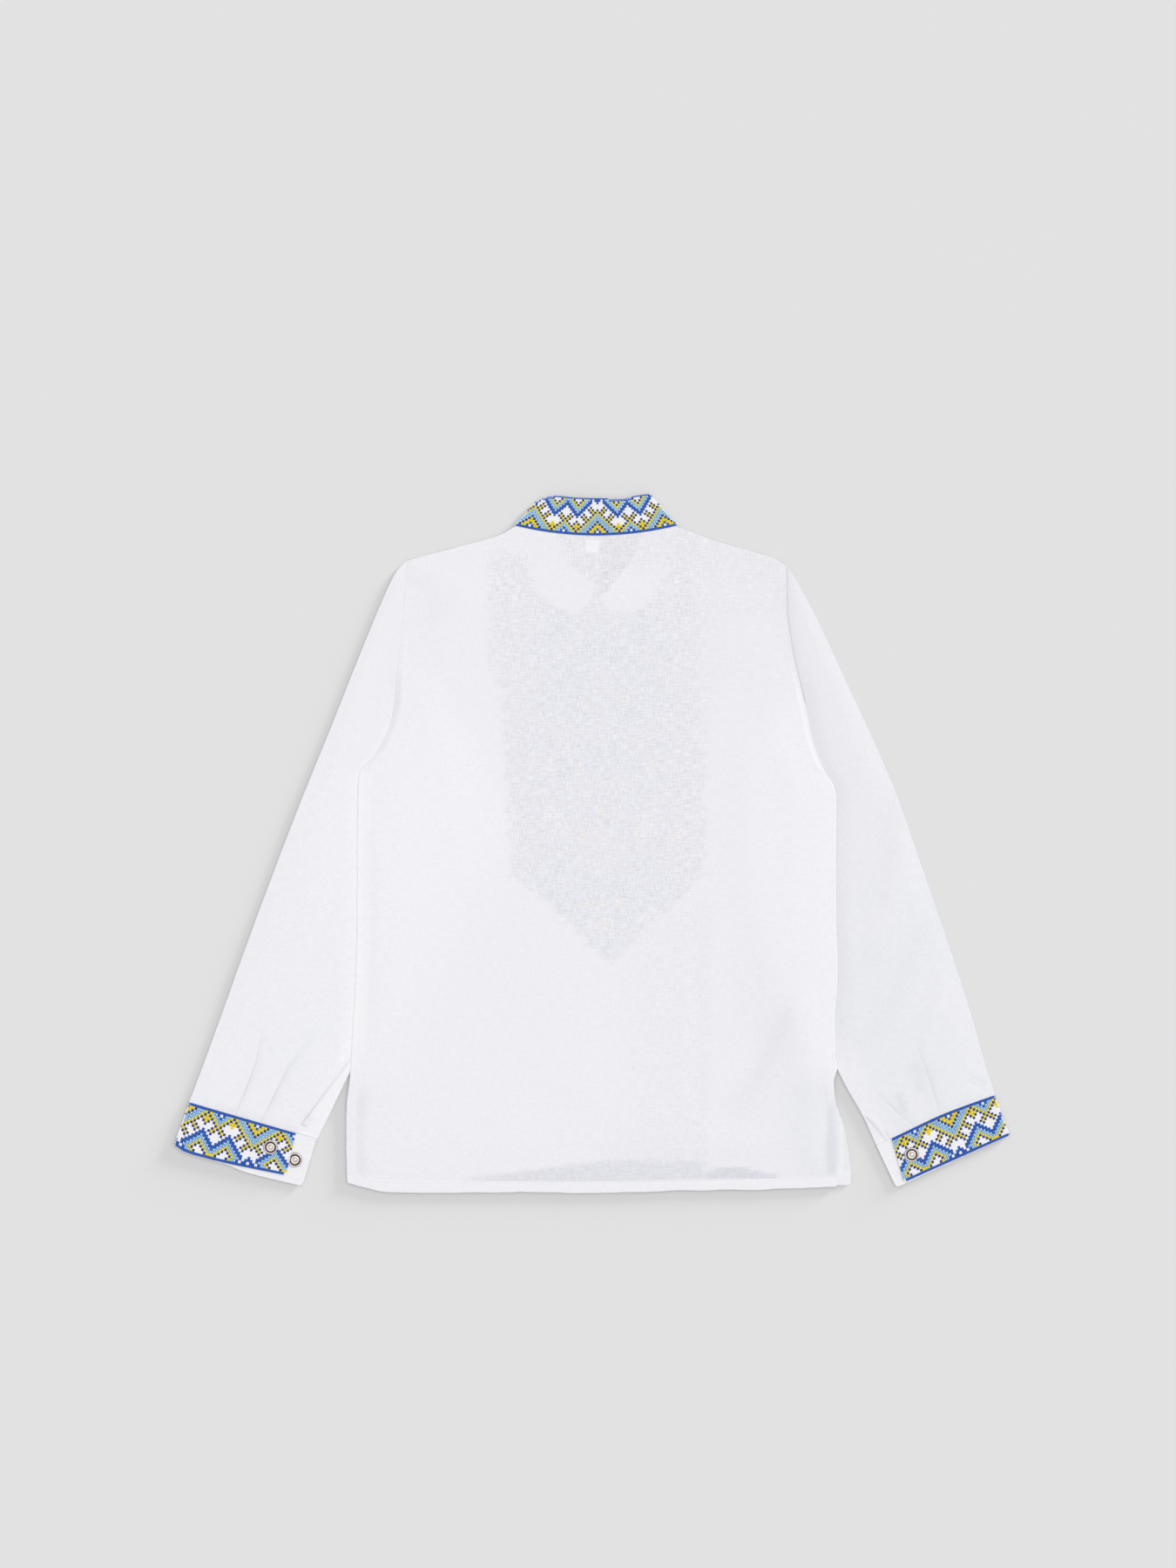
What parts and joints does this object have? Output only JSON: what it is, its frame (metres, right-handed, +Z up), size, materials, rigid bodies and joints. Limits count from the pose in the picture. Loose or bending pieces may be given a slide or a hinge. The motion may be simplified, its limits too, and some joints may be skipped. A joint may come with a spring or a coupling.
{
  "type": "vyshyvanka shirt",
  "caption": "Child's linen vyshyvanka laid flat with its back up: long sleeves, embroidered stand collar and cuffs with ring snaps, open side vents and a turned hem.",
  "frame": {"origin": "middle of the shirt's bounding box, on the table it lies on", "axes": "+Z up off the table, out of the shirt's back; +Y along the shirt from hem to collar; +X across it, to the right as seen from above"},
  "size_m": [0.7118, 0.5942, 0.0075],
  "materials": {
    "linen": "bleached plain-weave linen, matte",
    "band": "linen covered with cross stitch in blues, yellow and white",
    "steel": "nickel-plated ring snap, satin",
    "label": "bare white woven tape, smooth"
  },
  "bodies": {
    "root": {"front_panel": "linen", "back_panel": "linen", "sleeve_left": "linen", "sleeve_right": "linen", "collar": "band", "cuff_left": "band", "cuff_right": "band", "snap_left_over": "steel", "snap_left_under": "steel", "snap_right_over": "steel", "neck_label": "label"}
  },
  "joints": []
}
